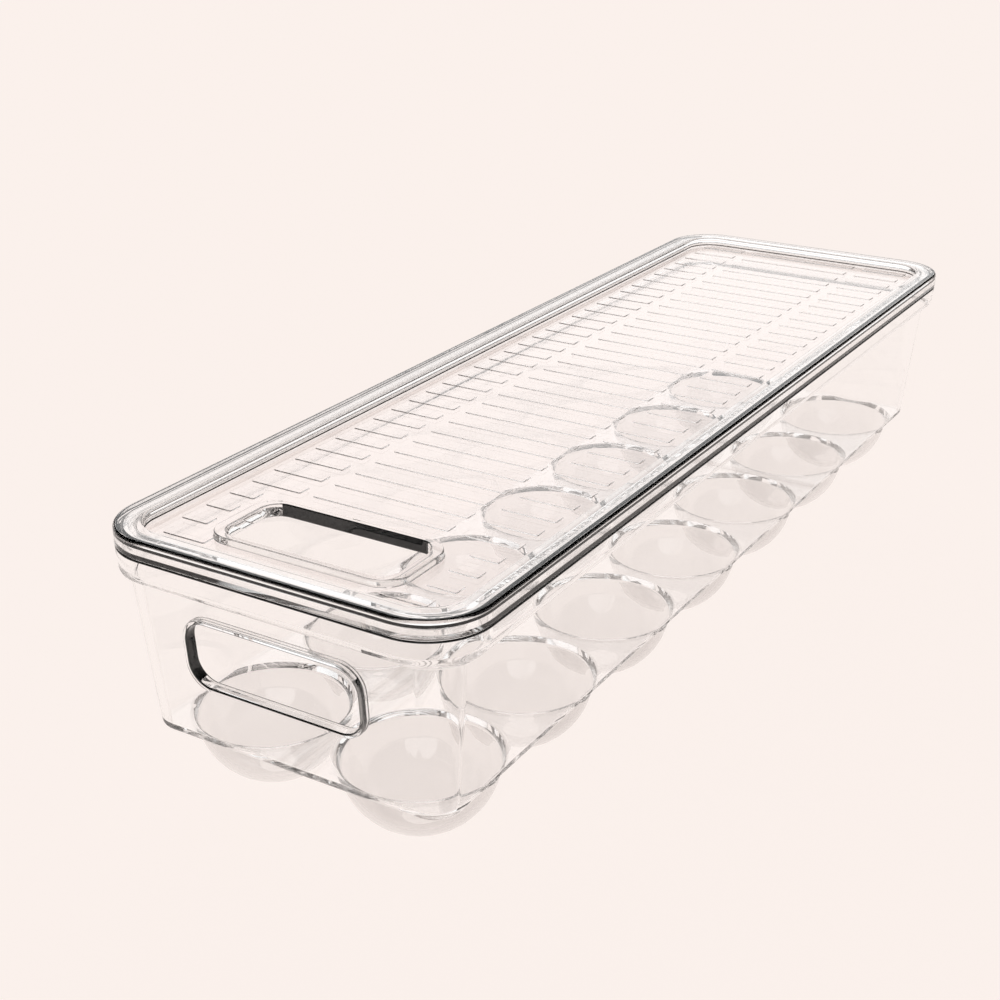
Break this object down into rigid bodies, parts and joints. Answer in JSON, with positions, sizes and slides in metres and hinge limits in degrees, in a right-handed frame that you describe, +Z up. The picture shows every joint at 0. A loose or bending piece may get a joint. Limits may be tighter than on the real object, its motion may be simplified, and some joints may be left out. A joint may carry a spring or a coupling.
{
  "type": "egg holder",
  "caption": "Clear lidded fridge bin with round cups below its floor in two rows, a grip window in the front wall and a grip hole in the lift-off lid.",
  "frame": {"origin": "middle of the surface that the cups' flat feet stand on, under the middle of the lid's outline", "axes": "+Z up, Y along the length with the grip window at -Y, X across"},
  "size_m": [0.1138, 0.368, 0.0806],
  "materials": {
    "clear_bin": "clear, polished",
    "clear_lid": "clear, polished"
  },
  "bodies": {
    "bin": {"bin": "clear_bin"},
    "lid": {"lid": "clear_lid"}
  },
  "joints": [
    {"name": "lid_lift", "type": "slide", "parent": "bin", "child": "lid", "axis": [0, 0, 1], "range_m": [0, 0.12]}
  ]
}
